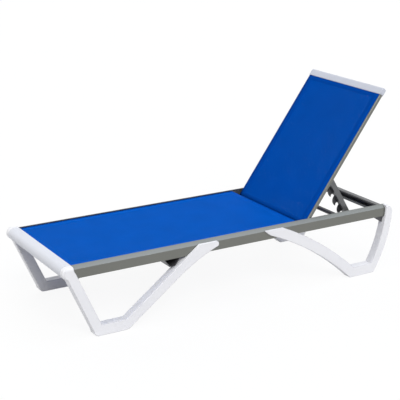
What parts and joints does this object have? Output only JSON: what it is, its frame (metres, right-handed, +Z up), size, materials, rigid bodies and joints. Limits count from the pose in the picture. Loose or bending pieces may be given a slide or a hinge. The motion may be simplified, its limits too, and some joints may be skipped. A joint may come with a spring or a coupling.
{
  "type": "chaise lounge",
  "caption": "Low sun lounger with a long frame on moulded legs, a woven sling seat and a backrest that tilts on a toothed prop.",
  "frame": {"origin": "middle of the footprint, on the floor", "axes": "+X from the foot end to the head end, +Y across to the far side, +Z up"},
  "size_m": [1.708, 0.62, 0.8864],
  "materials": {
    "rail_metal": "satin",
    "dark_metal": "satin",
    "arm_metal": "satin",
    "white_plastic": "satin",
    "black_plastic": "matte",
    "screw_steel": "satin",
    "seat_mesh": "woven",
    "back_mesh": "woven",
    "hem_cord": "matte"
  },
  "bodies": {
    "frame": {"rail_near": "rail_metal", "rail_far": "rail_metal", "foot_bar": "white_plastic", "foot_leg_near": "white_plastic", "foot_leg_far": "white_plastic", "head_leg_near": "white_plastic", "head_leg_far": "white_plastic", "head_crossbar": "dark_metal", "mid_crossbar": "dark_metal", "foot_spreader": "dark_metal", "catch_bar": "dark_metal", "corner_brackets": "dark_metal", "leg_screws": "screw_steel", "seat_sling": "seat_mesh", "seat_cords": "hem_cord", "hinge_bolts": "screw_steel", "hinge_spacers": "black_plastic"},
    "backrest": {"back_rail_near": "rail_metal", "back_rail_far": "rail_metal", "back_low_bar": "dark_metal", "back_high_bar": "dark_metal", "back_cap": "white_plastic", "back_sling": "back_mesh", "back_cords": "hem_cord", "back_plugs": "black_plastic", "hinge_brackets": "dark_metal", "prop_brackets": "dark_metal", "bracket_rivets": "screw_steel", "prop_axle": "dark_metal"},
    "prop": {"arm_near": "arm_metal", "arm_far": "arm_metal", "claw_plate_near": "dark_metal", "claw_plate_far": "dark_metal", "link_bar": "dark_metal", "link_caps": "black_plastic", "claw_rivets": "screw_steel"}
  },
  "joints": [
    {"name": "backrest_tilt", "type": "hinge", "parent": "frame", "child": "backrest", "pos_m": [0.3967, 0, 0.299], "axis": [0, -1, 0], "range_deg": [-51.5, 17]},
    {"name": "prop_swing", "type": "hinge", "parent": "backrest", "child": "prop", "pos_m": [0.5222, 0, 0.48286], "axis": [0, -1, 0], "range_deg": [-9.35, 28.32]}
  ],
  "couplings": [
    {"joint": "prop_swing", "follows": "backrest_tilt", "ratio": -0.55}
  ]
}
